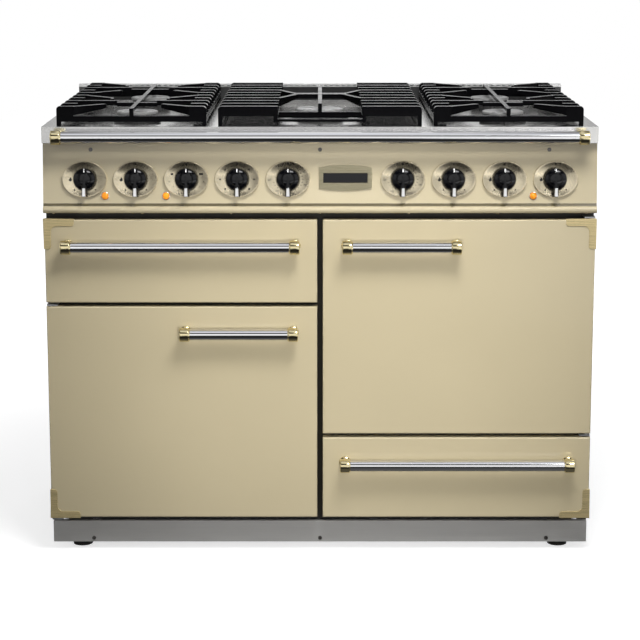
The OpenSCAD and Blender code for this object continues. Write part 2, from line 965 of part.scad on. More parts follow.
module gas_pipes() {
    rail_y = panel_y(knob_z) + tap_in_y + 8;
    rail_h = knob_z - rail_below;
    side_floor = hob_z - well_depth - sheet;
    side_run = burner_x - 31;
    color("#a8793d")
        difference() {
            union() {
                burner_feed(0, -burner_x - 29, -burner_x, face_y + burner_d[0], knob_z + 33, side_floor);
                burner_feed(1, -side_run, -burner_x, face_y + burner_d[1], knob_z + 47, side_floor);
                burner_feed(6, 60, 0, face_y + wok_d, knob_z + 51, hob_z - wok_depth - sheet);
                burner_feed(7, side_run, burner_x, face_y + burner_d[1], knob_z + 47, side_floor);
                burner_feed(8, burner_x + 29, burner_x, face_y + burner_d[0], knob_z + 33, side_floor);
                tube([[knob_x[0] - 25, rail_y, rail_h], [inlet_x, rail_y, rail_h],
                      [inlet_x, back_y - 60, rail_h], [inlet_x, back_y - 60, inlet_z],
                      [inlet_x, back_y - 40, inlet_z]], 8);
                for (i = gas_knobs)
                    rod_y(knob_x[i], rail_y - 8, rail_y, rail_h, 5.5);
                rod_y(inlet_x, back_y - 45, back_y - 5, inlet_z, 14);
            }
            rod_y(inlet_x, back_y - 20, back_y - 4, inlet_z, inlet_bore);
        }
}

// Hob
module hob_tray() {
    side_x = [-burner_x - side_half + 11, -burner_x + side_half - 11];
    color("#c6c6c4")
        difference() {
            union() {
                block(-body_side, body_side, face_y, tray_back, hob_z - sheet, hob_z);
                difference() {
                    block(-body_side, body_side, face_y, tray_back, tray_low, hob_z);
                    block(-wall_in, wall_in, face_y + sheet, tray_back - sheet,
                          tray_low - 1, hob_z - sheet);
                }
                both_sides()
                    block(side_x[0] - sheet, side_x[1] + sheet, well_y[0] - sheet, well_y[1] + sheet,
                          hob_z - well_depth - sheet, hob_z);
                block(-centre_half + 12, centre_half - 12, well_y[0] - sheet, well_y[1] + sheet,
                      hob_z - wok_depth - sheet, hob_z);
            }
            both_sides()
                block(side_x[0], side_x[1], well_y[0], well_y[1], hob_z - well_depth, hob_z + 1);
            block(-centre_half + 14, centre_half - 14, well_y[0], well_y[1],
                  hob_z - wok_depth, hob_z + 1);
        }
}

module rear_vent_trim() {
    n = 81;
    pitch = (2 * body_side - 40) / n;
    top = hob_z + vent_h;
    slot_top = 1.8;
    slot_h = 3;
    color("#c6c6c4")
        difference() {
            block(-body_side, body_side, tray_back, back_y, tray_low, top);
            block(-wall_in, wall_in, tray_back + 1.5, back_y - 1.5, tray_low - 1, top - 1.5);
            for (i = [0:n - 1])
                block(-body_side + 20 + (i + 0.25) * pitch, -body_side + 20 + (i + 0.75) * pitch,
                      tray_back - 1, tray_back + 2, top - slot_top - slot_h, top - slot_top);
        }
}

burner_spots = [
    [-burner_x, face_y + burner_d[0]],
    [-burner_x, face_y + burner_d[1]],
    [burner_x, face_y + burner_d[0]],
    [burner_x, face_y + burner_d[1]],
];
side_floor_z = hob_z - well_depth;
wok_floor_z = hob_z - wok_depth;

module burner_bases() {
    color("#9c9c9a") {
        for (p = burner_spots)
            translate([p[0], p[1], side_floor_z])
                cylinder(h = 9, r = side_cap_d / 2 + 5);
        translate([0, face_y + wok_d, wok_floor_z])
            cylinder(h = 7, r = wok_cap_d / 2 + 10);
        for (p = burner_spots)
            rod_z(p[0], p[1] - side_cap_d / 2 - 9, side_floor_z, side_floor_z + 18, 2.5);
        rod_z(0, face_y + wok_d - wok_cap_d / 2 - 14, wok_floor_z, wok_floor_z + 16, 2.5);
    }
}

module crown(r, h, slots) {
    difference() {
        cylinder(h = h, r = r);
        translate([0, 0, -1])
            cylinder(h = h - 1, r = r - 8);
        for (i = [0:slots - 1])
            rotate([0, 0, i * 360 / slots])
                translate([r - 3, -1.2, h - 6])
                    cube([5, 2.4, 7]);
    }
}

module burner_crowns() {
    color("#b9b9b6") {
        for (p = burner_spots)
            translate([p[0], p[1], side_floor_z + 9])
                crown(side_cap_d / 2 - 3, 11, 24);
        translate([0, face_y + wok_d, wok_floor_z + 7])
            crown(wok_cap_d / 2 - 3, 9, 32);
    }
}

module burner_caps() {
    color("#4a4a4a") {
        for (p = burner_spots)
            translate([p[0], p[1], side_floor_z + 20]) {
                cylinder(h = 3.5, r = side_cap_d / 2);
                translate([0, 0, 3.5])
                    cylinder(h = 1.5, r1 = side_cap_d / 2, r2 = side_cap_d / 2 - 2);
            }
        translate([0, face_y + wok_d, wok_floor_z + 16]) {
            cylinder(h = 3.5, r = wok_cap_d / 2);
            translate([0, 0, 3.5])
                cylinder(h = 1.5, r1 = wok_cap_d / 2, r2 = wok_cap_d / 2 - 2);
        }
    }
}

// Pan supports. Heights g are above the hob, depths d behind the hob's front edge.
support_low = 7;
rail_top = 19;
stub = 34;
tip_low = support_h - 10;
finger_top = support_h - 0.5;
finger_low = rail_top + 1;

// Upright bar from a to b, full depth at a and tapering to its tip at b
module finger(a, b, low_a, low_b) {
    v = b - a;
    translate([a[0], a[1], hob_z])
        rotate([90, 0, atan2(v[1], v[0])])
            linear_extrude(height = bar_t, center = true)
                polygon([[0, low_a], [norm(v), low_b], [norm(v), finger_top - 2],
                         [norm(v) - 2, finger_top], [0, finger_top]]);
}

// Bar along x from an outer edge to an inner end, with a round outer top corner
module outer_bar(x_out, x_in, y, low, top) {
    dir = x_in > x_out ? 1 : -1;
    r = 7;
    arc = [for (a = [0:15:90]) [dir * (r - r * cos(a)), top - r + r * sin(a)]];
    translate([x_out, y, hob_z])
        rotate([90, 0, 0])
            linear_extrude(height = bar_t, center = true)
                polygon(concat([[0, low]], arc, [[dir * (abs(x_in - x_out)), top],
                               [dir * (abs(x_in - x_out)), low]]));
}

module feet_and_rails(half, inner_rails) {
    d0 = face_y + support_d[0];
    d1 = face_y + support_d[1];
    for (s = [-1, 1])
        for (x = inner_rails)
            block(min(s * x, s * (x - bar_t)), max(s * x, s * (x - bar_t)), d0, d1,
                  hob_z + support_low, hob_z + rail_top);
    for (s = [-1, 1])
        for (y = [d0, (d0 + d1) / 2 - 6, d1 - 12])
            block(min(s * half, s * (half - bar_t)), max(s * half, s * (half - bar_t)), y, y + 12,
                  hob_z + rest_gap, hob_z + support_low + 1);
}

module side_support() {
    d0 = face_y + support_d[0];
    d1 = face_y + support_d[1];
    feet_and_rails(side_half, [side_half]);
    for (y = [d0, d1 - bar_t])
        block(-side_half, side_half, y, y + bar_t, hob_z + support_low, hob_z + rail_top);
    for (s = [-1, 1]) {
        for (i = [0:9])
            outer_bar(s * side_half, s * (side_half - stub), face_y + bar_rows[i],
                      rail_top - 1, support_h);
        // Fingers round each burner
        for (n = [0, 1]) {
            c = face_y + burner_d[n];
            for (i = [n * 5, n * 5 + 4]) {
                y = face_y + bar_rows[i];
                finger([s * (side_half - stub + 2), y],
                       [s * 57, c + (y < c ? -65 : 65)], finger_low, tip_low + 1);
            }
            block(min(s * 40, s * (side_half - stub + 1)), max(s * 40, s * (side_half - stub + 1)),
                  c - bar_t / 2, c + bar_t / 2, hob_z + tip_low, hob_z + support_h);
            block(min(0, s * 41), max(0, s * 41), c - bar_t / 2, c + bar_t / 2,
                  hob_z + tip_low - 2, hob_z + support_h - 4);
        }
    }
    // Spine from front to back
    block(-bar_t / 2, bar_t / 2, d0, d1, hob_z + tip_low - 2, hob_z + support_h - 4);
    for (y = [d0, d1 - bar_t])
        block(-bar_t / 2, bar_t / 2, y, y + bar_t, hob_z + support_low, hob_z + support_h - 4);
}

module left_pan_support() {
    color("#1a1a1a")
        translate([-burner_x, 0, 0])
            side_support();
}

module right_pan_support() {
    color("#1a1a1a")
        translate([burner_x, 0, 0])
            side_support();
}

module centre_pan_support() {
    d0 = face_y + support_d[0];
    d1 = face_y + support_d[1];
    inner = 83;
    mid = face_y + wok_d;
    color("#1a1a1a") {
        feet_and_rails(centre_half, [centre_half, inner + bar_t]);
        for (s = [-1, 1]) {
            for (i = [0:9])
                outer_bar(s * centre_half, s * inner, face_y + bar_rows[i], rail_top - 1, support_h);
            for (i = [3, 6])
                finger([s * (inner + 2), face_y + bar_rows[i]],
                       [s * 50, mid + (i == 3 ? -6 : 6)], finger_low, tip_low + 1);
            block(min(0, s * 52), max(0, s * 52), mid - bar_t / 2 - 5, mid + bar_t / 2 + 5,
                  hob_z + tip_low, hob_z + support_h);
            for (i = [1, 8])
                block(min(0, s * (inner + 1)), max(0, s * (inner + 1)), face_y + bar_rows[i] - bar_t / 2,
                      face_y + bar_rows[i] + bar_t / 2, hob_z + 9, hob_z + 21);
        }
        // Spine and the low bar along its front
        block(-bar_t / 2, bar_t / 2, face_y + bar_rows[1], face_y + bar_rows[8],
              hob_z + tip_low, hob_z + support_h);
        for (i = [1, 8])
            block(-bar_t / 2, bar_t / 2, face_y + bar_rows[i] - bar_t / 2,
                  face_y + bar_rows[i] + bar_t / 2, hob_z + 9, hob_z + support_h);
        for (y = [d0, d1 - bar_t])
            block(-inner - 1, inner + 1, y, y + bar_t, hob_z + support_low, hob_z + 13);
    }
}

module screw_head(r) {
    difference() {
        cylinder(h = 2, r = r);
        translate([-r, -0.5, 1.2])
            cube([2 * r, 1, 1]);
        translate([-0.5, -r, 1.2])
            cube([1, 2 * r, 1]);
    }
}

module fixing_screws() {
    color("#b9b9b6")
        for (s = [-1, 0, 1]) {
            panel_frame(s * (total_w / 2 - 95), tray_low - 14)
                screw_head(4);
            translate([s * (total_w / 2 - 83), frame_y - 8, foot_h + 8.5])
                rotate([90, 0, 0])
                    screw_head(4);
        }
}

module knob_1() { knob(knob_x[0]); }
module knob_2() { knob(knob_x[1]); }
module knob_3() { knob(knob_x[2]); }
module knob_4() { knob(knob_x[3]); }
module knob_5() { knob(knob_x[4]); }
module knob_6() { knob(knob_x[5]); }
module knob_7() { knob(knob_x[6]); }
module knob_8() { knob(knob_x[7]); }
module knob_9() { knob(knob_x[8]); }

base_frame();
base_strip();
levelling_feet();
side_panels();
rear_panel();
front_frame();
left_oven_cavity();
right_oven_cavity();
grill_chamber();
heating_elements();
fan_units();
shelf_supports();
door_seals();
door_hinges();
drawer_runners();
control_panel();
knob_bezels();
badge_plate();
neon_lamps();
tap_and_switch_bodies();
gas_pipes();
hob_tray();
rear_vent_trim();
hand_rail();
hand_rail_brackets();
burner_bases();
burner_crowns();
burner_caps();
fixing_screws();
left_pan_support();
centre_pan_support();
right_pan_support();
left_oven_shelf();
right_oven_shelf();
left_fan();
right_fan();
grill_carriage();
grill_pan();
grill_door();
grill_door_handle();
grill_door_brasses();
left_oven_door();
left_oven_door_handle();
left_oven_door_brasses();
right_oven_door();
right_oven_door_handle();
right_oven_door_brasses();
drawer_front();
drawer_box();
drawer_handle();
drawer_brasses();
knob_1();
knob_2();
knob_3();
knob_4();
knob_5();
knob_6();
knob_7();
knob_8();
knob_9();
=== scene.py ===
"""Looks of the range cooker: finishes on the CAD frame, small detailed pieces, studio, camera."""
import json
import math

import bmesh
import bpy
from mathutils import Matrix, Vector


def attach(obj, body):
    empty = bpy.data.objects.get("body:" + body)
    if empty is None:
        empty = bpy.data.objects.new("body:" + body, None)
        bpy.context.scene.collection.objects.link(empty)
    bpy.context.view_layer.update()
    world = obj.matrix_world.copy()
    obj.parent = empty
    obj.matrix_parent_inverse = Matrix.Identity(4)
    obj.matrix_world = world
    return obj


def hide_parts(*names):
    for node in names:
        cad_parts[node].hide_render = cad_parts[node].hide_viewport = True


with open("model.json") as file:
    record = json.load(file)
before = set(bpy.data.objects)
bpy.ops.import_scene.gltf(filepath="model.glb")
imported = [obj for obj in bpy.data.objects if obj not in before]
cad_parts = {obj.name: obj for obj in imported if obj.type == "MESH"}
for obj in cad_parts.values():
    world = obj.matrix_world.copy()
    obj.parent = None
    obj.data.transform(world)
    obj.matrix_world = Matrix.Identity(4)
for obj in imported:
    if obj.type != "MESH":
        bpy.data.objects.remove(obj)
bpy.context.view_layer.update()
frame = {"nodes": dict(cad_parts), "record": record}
nodes = frame["nodes"]
MM = 0.001
bpy.context.scene.view_settings.view_transform = "Standard"

# Camera

IMAGE_SIDE = 640
SENSOR = 36.0
FOCAL_PIXELS = 1866.2
LOOK_DOWN = 10.15
camera_data = bpy.data.cameras.new("camera")
camera_data.sensor_width = SENSOR
camera_data.lens = FOCAL_PIXELS / IMAGE_SIDE * SENSOR
camera_data.shift_y = -0.10
camera = bpy.data.objects.new("camera", camera_data)
camera.location = (0.0, -3.919, 1.2662)
camera.rotation_euler = (math.radians(90 - LOOK_DOWN), 0, 0)
bpy.context.scene.collection.objects.link(camera)
bpy.context.scene.camera = camera

# Node trees


def shade(colour, factor):
    return tuple(c * factor for c in colour)


class Tree:
    """A node tree, with short calls for adding and linking nodes."""

    def __init__(self, tree):
        self.tree = tree

    def add(self, kind, **values):
        """A node, with values for its inputs or its settings."""
        node = self.tree.nodes.new(kind)
        for key, value in values.items():
            if key in node.inputs:
                node.inputs[key].default_value = value
            else:
                setattr(node, key, value)
        return node

    def link(self, out, into):
        self.tree.links.new(out, into)

    def axes(self, vector):
        parts = self.add("ShaderNodeSeparateXYZ")
        self.link(vector, parts.inputs[0])
        return parts.outputs

    def span(self, fac, low, high, start=0.35, end=0.65, smooth=False):
        """A number from low to high as the factor goes from start to end."""
        ramp = self.add("ShaderNodeMapRange")
        if smooth:
            ramp.interpolation_type = "SMOOTHSTEP"
        for key, value in (("From Min", start), ("From Max", end),
                           ("To Min", low), ("To Max", high)):
            ramp.inputs[key].default_value = value
        self.link(fac, ramp.inputs["Value"])
        return ramp.outputs["Result"]

    def maths(self, operation, *numbers):
        node = self.add("ShaderNodeMath", operation=operation)
        for socket, number in zip(node.inputs, numbers):
            self.link(number, socket)
        return node.outputs[0]

    def times(self, one, two):
        return self.maths("MULTIPLY", one, two)

    def plus(self, one, two):
        return self.maths("ADD", one, two)

    def larger(self, one, two):
        return self.maths("MAXIMUM", one, two)

    def colours(self, fac, low, high):
        """A colour between two fixed ones."""
        mix = self.add("ShaderNodeMix", data_type="RGBA")
        mix.inputs[6].default_value = (*low, 1)
        mix.inputs[7].default_value = (*high, 1)
        self.link(fac, mix.inputs[0])
        return mix.outputs[2]

    def shaders(self, fac, one, two):
        """A shader between two others."""
        mix = self.add("ShaderNodeMixShader")
        self.link(fac, mix.inputs[0])
        self.link(one, mix.inputs[1])
        self.link(two, mix.inputs[2])
        return mix.outputs[0]


class Surface(Tree):
    """A material's tree round its main shader."""

    def __init__(self, name):
        self.material = bpy.data.materials.new(name)
        self.material.use_nodes = True
        super().__init__(self.material.node_tree)
        self.shader = self.tree.nodes["Principled BSDF"]

    def put(self, **values):
        """Constants on the main shader's own sockets."""
        for key, value in values.items():
            self.shader.inputs[key.replace("_", " ")].default_value = value

    def position(self, stretch=None):
        place = self.add("ShaderNodeTexCoord").outputs["Object"]
        if stretch is None:
            return place
        mapping = self.add("ShaderNodeMapping", Scale=stretch)
        self.link(place, mapping.inputs["Vector"])
        return mapping.outputs["Vector"]

    def noise(self, scale, detail=3.0, rough=0.5, stretch=None):
        noise = self.add("ShaderNodeTexNoise", Scale=scale, Detail=detail, Roughness=rough)
        self.link(self.position(stretch), noise.inputs["Vector"])
        return noise.outputs["Fac"]

    def base(self, colour):
        self.link(colour, self.shader.inputs["Base Color"])

    def tint(self, fac, colour, vary):
        """Base colour varied a little either way."""
        self.base(self.colours(self.span(fac, 0, 1),
                               shade(colour, 1 - vary), shade(colour, 1 + vary)))

    def gloss(self, fac, rough, vary):
        """Roughness varied a little either way."""
        self.link(self.span(fac, rough * (1 - vary), rough * (1 + vary)),
                  self.shader.inputs["Roughness"])

    def bump(self, height, distance, strength):
        bump = self.add("ShaderNodeBump", Strength=strength, Distance=distance)
        self.link(height, bump.inputs["Height"])
        self.link(bump.outputs["Normal"], self.shader.inputs["Normal"])


# Finishes, with distances in metres

BRUSH_STRETCH = 0.006  # the grain's scale along the brushing, against 1 across it


def enamel(name, colour, rough=0.2, vary=0.02):
    """Vitreous enamel: an even colour under a hard gloss, with a faint orange peel."""
    n = Surface(name)
    n.tint(n.noise(3.0, detail=2.0), colour, vary)
    n.gloss(n.noise(11.0), rough, vary=0.2)
    n.put(Coat_Weight=0.6, Coat_Roughness=0.05)
    n.bump(n.noise(240.0, detail=2.0), distance=0.00003, strength=0.3)
    return n.material


def metal(name, colour, rough, brush=None, grain=900.0, depth=0.00002, vary=0.05, rough_vary=0.3,
          cloud=0.0, metallic=1.0):
    """Metal with a brushed grain along one axis, or an even grain where brush is None."""
    n = Surface(name)
    n.put(Metallic=metallic)
    stretch = None
    if brush is not None:
        stretch = [BRUSH_STRETCH if axis == brush else 1.0 for axis in range(3)]
    lines = n.noise(grain, rough=0.6, stretch=stretch)
    n.tint(lines, colour, vary)
    if cloud:
        n.gloss(n.noise(14.0, detail=4.0), rough, cloud)
    else:
        n.gloss(lines, rough, rough_vary)
    n.bump(lines, depth, strength=0.35)
    return n.material


def plain(name, colour, rough, grain=400.0, depth=0.00003, vary=0.15, specular=0.5):
    """Moulded, painted or cast surface with a fine grain."""
    n = Surface(name)
    tone = n.noise(grain)
    n.tint(tone, colour, vary)
    n.gloss(n.noise(grain * 0.1, detail=2.0), rough, vary=0.15)
    n.put(Specular_IOR_Level=specular)
    n.bump(tone, depth, strength=0.4)
    return n.material


def cast(name, colour, wear_and_highlight, rough, grain=260.0):
    """Glossy black enamel on cast iron, grey on its upper edges: partly wear, partly a painted
    highlight.
    """
    n = Surface(name)
    tone = n.noise(grain)
    rounded = n.add("ShaderNodeBevel", samples=6, Radius=0.0013)
    up = n.axes(rounded.outputs["Normal"])["Z"]
    off_flat = n.span(up, 1.0, 0.0, start=0.86, end=0.97)
    off_side = n.span(up, 0.0, 1.0, start=0.12, end=0.45)
    patchy = n.span(n.noise(34.0, detail=4.0), 0.6, 1.0)
    # Grey on rounded edges facing upwards: partly wear, partly painted highlight
    n.base(n.colours(n.times(n.times(off_flat, off_side), patchy), colour, wear_and_highlight))
    n.gloss(n.noise(grain * 0.1, detail=2.0), rough, vary=0.15)
    n.bump(tone, distance=0.00005, strength=0.3)
    n.put(Specular_IOR_Level=0.03)
    return n.material


def painted_fold_light(name, upper, lower, line_z):
    """Folded steel trim: a painted highlight on its top edge above a face darkened as painted
    shade, with a wavering line.
    """
    waver, blur = 0.0004, 0.0008
    n = Surface(name)
    n.put(Metallic=0.7)
    grain = n.noise(500.0)
    height = n.add("ShaderNodeMath", operation="MULTIPLY_ADD")
    height.inputs[1].default_value = waver
    n.link(grain, height.inputs[0])
    n.link(n.axes(n.position())["Z"], height.inputs[2])
    # Painted light: bright above the line, painted shade below it
    lit_top_mask = n.span(height.outputs[0], 0.0, 1.0, line_z, line_z + blur)
    n.base(n.colours(lit_top_mask, lower, upper))
    n.link(n.span(lit_top_mask, 0.2, 0.5, start=0.0, end=1.0), n.shader.inputs["Roughness"])
    n.bump(grain, distance=0.000004, strength=0.3)
    return n.material


def glowing(name, colour, glow, strength):
    """Moulded lens with a faint light behind it."""
    n = Surface(name)
    n.tint(n.noise(160.0), colour, vary=0.2)
    n.gloss(n.noise(50.0), rough=0.22, vary=0.2)
    n.link(n.colours(n.span(n.noise(220.0), 0, 1), shade(glow, 0.5), glow),
           n.shader.inputs["Emission Color"])
    n.put(Emission_Strength=strength)
    return n.material


def speckled(name, colour, speck, rough):
    """Oven enamel: dark gloss with fine pale specks."""
    n = Surface(name)
    specks = n.add("ShaderNodeTexVoronoi", Scale=420.0)
    n.link(n.position(), specks.inputs["Vector"])
    n.base(n.colours(n.span(specks.outputs["Distance"], 1, 0, start=0.08, end=0.2), colour, speck))
    n.gloss(n.noise(9.0), rough, vary=0.2)
    n.bump(n.noise(300.0), distance=0.00005, strength=0.4)
    return n.material


CREAM = (0.55, 0.474, 0.31)
STEEL = (0.74, 0.735, 0.72)
ALONG_X = 0
TRIM_FOLD_Z = 0.8988
finish = {
    "cream_enamel": enamel("cream_enamel", CREAM),
    "black_enamel": plain("black_enamel", (0.016, 0.014, 0.010), 0.42),
    "oven_enamel": speckled("oven_enamel", (0.035, 0.038, 0.045), (0.25, 0.25, 0.27), 0.2),
    "stainless": metal("stainless", STEEL, 0.25, brush=ALONG_X, grain=2200.0, depth=0.0000002,
                       vary=0.015, rough_vary=0.08),
    # Painted highlight on the trim's top edge, painted shade below it
    "trim_steel": painted_fold_light("trim_steel", (0.92, 0.92, 0.91), (0.10, 0.10, 0.10), TRIM_FOLD_Z),
    "satin_steel": metal("satin_steel", (0.60, 0.59, 0.57), 0.45, brush=ALONG_X, grain=2200.0,
                         depth=0.000002, metallic=0.55),
    "screw_steel": metal("screw_steel", (0.16, 0.15, 0.14), 0.38, grain=300.0),
    "polished": metal("polished", (0.83, 0.83, 0.84), 0.07, brush=ALONG_X, grain=1600.0,
                      depth=0.0000002, vary=0.02, rough_vary=0.1),
    "brass": metal("brass", (0.80, 0.70, 0.42), 0.12, grain=500.0, depth=0.000006, cloud=0.3),
    "satin_brass": metal("satin_brass", (0.66, 0.54, 0.285), 0.32, brush=ALONG_X, grain=1800.0,
                         depth=0.000002, metallic=0.55),
    "champagne_metal": metal("champagne_metal", (0.76, 0.67, 0.485), 0.25, depth=0.000003,
                             vary=0.02),
    "badge_metal": metal("badge_metal", (0.46, 0.415, 0.28), 0.36, brush=ALONG_X, grain=1800.0,
                         depth=0.000002, vary=0.03),
    "knob_black": plain("knob_black", (0.002, 0.002, 0.003), 0.07, depth=0.000003, specular=0.36),
    "chrome": metal("chrome", (0.84, 0.84, 0.84), 0.06, grain=300.0, depth=0.000004, vary=0.02),
    "cast_iron": cast("cast_iron", (0.003, 0.003, 0.0035), (0.38, 0.38, 0.385), 0.2),
    "burner_alloy": metal("burner_alloy", (0.13, 0.13, 0.13), 0.34, grain=350.0),
    "cap_enamel": plain("cap_enamel", (0.26, 0.26, 0.255), 0.3, grain=300.0, vary=0.06),
    "tap_brass": metal("tap_brass", (0.60, 0.46, 0.24), 0.4, grain=300.0),
    "zinc_steel": metal("zinc_steel", (0.55, 0.56, 0.57), 0.42, grain=60.0, depth=0.000003,
                        vary=0.06, rough_vary=0.06),
    "element_steel": metal("element_steel", (0.12, 0.10, 0.09), 0.45),
    "seal_rope": plain("seal_rope", (0.03, 0.03, 0.032), 0.85, grain=500.0, depth=0.0006, vary=0.4),
    "neon_amber": glowing("neon_amber", (0.9, 0.30, 0.02), (1.0, 0.33, 0.02), 0.45),
    "mark_black": plain("mark_black", (0.010, 0.009, 0.007), 0.35),
    "print_and_highlight_white": plain("print_and_highlight_white", (0.80, 0.80, 0.78), 0.4, vary=0.04),
    # Painted shade for the crease under the control panel
    "cove_painted_shade": enamel("cove_painted_shade", (0.12, 0.10, 0.055), 0.14),
    "ceramic": plain("ceramic", (0.70, 0.69, 0.65), 0.3, vary=0.05),
}

# Finishes on the CAD nodes

slot_of = {row["node"]: row["material_slot"] for row in frame["record"]["subparts"]}
FINISH_OF = {
    "fixing_screws": "screw_steel", "base_strip": "satin_steel", "rear_vent_trim": "trim_steel",
    "hand_rail": "polished", "grill_door_handle": "polished", "left_oven_door_handle": "polished",
    "right_oven_door_handle": "polished", "drawer_handle": "polished",
}
EDGE_ROUND = {
    "control_panel": 0.8, "hob_tray": 0.5, "base_strip": 0.8, "rear_vent_trim": 0.2,
    "left_pan_support": 1.2, "centre_pan_support": 1.2, "right_pan_support": 1.2,
    "side_panels": 0.6, "drawer_box": 0.6, "grill_pan": 0.6,
}
EDGE_ROUND_ELSE = 0.3


def add_bevel(piece, width, segments, angle):
    """Rounds the edges sharper than an angle in degrees; width in millimetres."""
    bevel = piece.modifiers.new("bevel", "BEVEL")
    bevel.width = width * MM
    bevel.segments = segments
    bevel.limit_method = "ANGLE"
    bevel.angle_limit = math.radians(angle)
    return bevel


for name, piece in nodes.items():
    slot = slot_of[name]
    piece.data.materials.clear()
    piece.data.materials.append(finish[FINISH_OF.get(name, slot)])
    for face in piece.data.polygons:
        face.use_smooth = True
    weld = piece.modifiers.new("weld", "WELD")
    weld.merge_threshold = 0.00001
    add_bevel(piece, EDGE_ROUND.get(name, EDGE_ROUND_ELSE), 2, 35)
    normals = piece.modifiers.new("normals", "WEIGHTED_NORMAL")
    normals.mode = "FACE_AREA_WITH_ANGLE"
    normals.keep_sharp = True

# Mesh helpers, all in millimetres


def add_piece(name, mesh, body, slot, look=None, edge=0.0, smooth_angle=40, place=None):
    """Makes an object of a bmesh, and rides it on a body."""
    bmesh.ops.remove_doubles(mesh, verts=mesh.verts, dist=0.0005)
    mesh.transform(Matrix.Scale(MM, 4) @ (place or Matrix()))
    bmesh.ops.recalc_face_normals(mesh, faces=mesh.faces)
    data = bpy.data.meshes.new(name)
    mesh.to_mesh(data)
    mesh.free()
    for face in data.polygons:
        face.use_smooth = True
    data.set_sharp_from_angle(angle=math.radians(smooth_angle))
    data.materials.append(finish[look or slot])
    piece = bpy.data.objects.new(name, data)
    bpy.context.scene.collection.objects.link(piece)
    if edge:
        add_bevel(piece, edge, 3, 30).harden_normals = True
    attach(piece, body)
    return piece


def lathe(profile, segments=48, stretch=(1, 1)):
    """Closed solid of revolution about Z from (radius, height) points."""
    mesh = bmesh.new()
    rings = []
    for radius, height in profile:
        if radius == 0:
            rings.append([mesh.verts.new((0, 0, height))])
        else:
            rings.append([mesh.verts.new((radius * stretch[0] * math.cos(math.tau * i / segments),
                                          radius * stretch[1] * math.sin(math.tau * i / segments),
                                          height)) for i in range(segments)])
    for low, high in zip(rings, rings[1:]):
        for i in range(segments):
            j = (i + 1) % segments
            corners = [low[i % len(low)], low[j % len(low)],
                       high[j % len(high)], high[i % len(high)]]
            corners = list(dict.fromkeys(corners))
            if len(corners) > 2:
                mesh.faces.new(corners)
    return mesh


def prism(outline, low, high):
    """Solid between two heights along Z over an outline of (x, y) points."""
    mesh = bmesh.new()
    base = mesh.faces.new([mesh.verts.new((x, y, low)) for x, y in outline])
    made = bmesh.ops.extrude_face_region(mesh, geom=[base])
    for item in made["geom"]:
        if isinstance(item, bmesh.types.BMVert):
            item.co.z = high
    return mesh


def merge(*parts):
    """One bmesh of several, each given as a bmesh or as (bmesh, matrix)."""
    whole = bmesh.new()
    for part in parts:
        mesh, place = part if isinstance(part, tuple) else (part, None)
        if place is not None:
            mesh.transform(place)
        data = bpy.data.meshes.new("part")
        mesh.to_mesh(data)
        mesh.free()
        whole.from_mesh(data)
        bpy.data.meshes.remove(data)
    return whole


def at(x, y, z, turn_x=0.0, turn_y=0.0):
    """A place, and turns in degrees about X and then Y."""
    return (Matrix.Translation((x, y, z)) @ Matrix.Rotation(math.radians(turn_y), 4, "Y")
            @ Matrix.Rotation(math.radians(turn_x), 4, "X"))


def bow(cx, cy, radius, start, end, steps):
    """Points of an arc, with angles in degrees."""
    return [(cx + radius * math.cos(math.radians(start + (end - start) * i / steps)),
             cy + radius * math.sin(math.radians(start + (end - start) * i / steps)))
            for i in range(steps + 1)]


def box_outline(wide, tall):
    x, y = wide / 2, tall / 2
    return [(-x, -y), (x, -y), (x, y), (-x, y)]


# Control panel

LEAN = 6.0
PANEL_FOOT = (-281, 720)
KNOB_Z = 767.5
KNOB_X = [-463, -363, -263, -163, -63, 163, 263, 363, 463]


def panel(x, z):
    """Frame on the panel's leaning face: x to the right, y up the face, z out of it."""
    foot_y, foot_z = PANEL_FOOT
    y = foot_y + (z - foot_z) * math.tan(math.radians(LEAN))
    return Matrix.Translation((x, y, z)) @ Matrix.Rotation(math.radians(90 - LEAN), 4, "X")


# Dial plates: half sizes, the share of them inside the edge, and the dish's lowest and highest
PLATE_X, PLATE_Y = 44, 35.5
RIM = 0.965
DISH_LOW, DISH_HIGH = 0.3, 6.2
DISH_STEPS = 14


def dish_height(fraction):
    """Height of the dished face at a share of the plate's size."""
    return DISH_LOW + (DISH_HIGH - DISH_LOW) * (fraction / RIM) ** 2


def bezel():
    """Oval plate dished towards the dial, with a rounded edge."""
    edge = [(0, 0), (1.0, 0), (1.0, 4.8), (0.997, 5.5), (0.99, 6.0), (0.98, 6.25)]
    shares = [RIM * step / DISH_STEPS for step in range(DISH_STEPS, 0, -1)]
    dish = [(share, dish_height(share)) for share in shares]
    return lathe(edge + dish + [(0, DISH_LOW)], 96, (PLATE_X, PLATE_Y))


def on_dish(angle, fraction):
    """Frame on the dish, at a clockwise angle from the top and a share of the plate's size."""
    turn = math.radians(angle)
    x = PLATE_X * fraction * math.sin(turn)
    y = PLATE_Y * fraction * math.cos(turn)
    steep = 2 * (DISH_HIGH - DISH_LOW) / RIM ** 2
    normal = Vector((-steep * x / PLATE_X ** 2, -steep * y / PLATE_Y ** 2, 1))
    tilt = Vector((0, 0, 1)).rotation_difference(normal).to_matrix().to_4x4()
    return at(x, y, dish_height(fraction) - 0.1) @ tilt


# Printed marks, each with its frame on the dish

MARK_THICK = 0.3
FLAME = [(0, 1.5), (0.35, 0.9), (0.85, 0.3), (1.0, -0.3), (0.85, -0.85), (0.45, -1.2), (0, -1.3),
         (-0.45, -1.2), (-0.85, -0.8), (-0.95, -0.2), (-0.6, 0.2), (-0.35, 0.0), (-0.3, 0.7)]


def mark(outline, angle, fraction):
    """A mark that stands upright on the dish."""
    return prism(outline, 0, MARK_THICK), on_dish(angle, fraction)


def flame(size, angle, fraction):
    return mark([(x * size, y * size) for x, y in FLAME], angle, fraction)


